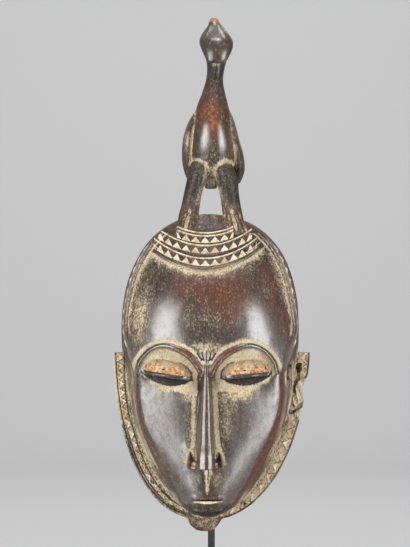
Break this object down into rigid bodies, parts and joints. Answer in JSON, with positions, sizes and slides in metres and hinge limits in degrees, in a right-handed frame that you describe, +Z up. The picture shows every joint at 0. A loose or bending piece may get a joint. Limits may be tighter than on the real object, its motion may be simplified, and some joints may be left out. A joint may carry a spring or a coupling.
{
  "type": "yaure mask on a stand",
  "caption": "Yaure face mask carved from one block of wood, hollow behind, with a standing bird as its crest, on a square steel bar with a steel foot.",
  "frame": {"origin": "centre of the stand foot's underside", "axes": "+Z up, the mask's face looks along -Y, +X to the viewer's right"},
  "size_m": [0.1711, 0.1134, 0.5115],
  "materials": {
    "carved_wood": "dark brown polished patina with cream residue in the carving",
    "stand_steel": "dark blackened steel, satin"
  },
  "bodies": {
    "root": {"mask": "carved_wood", "stand_rod": "stand_steel", "stand_base": "stand_steel"}
  },
  "joints": []
}
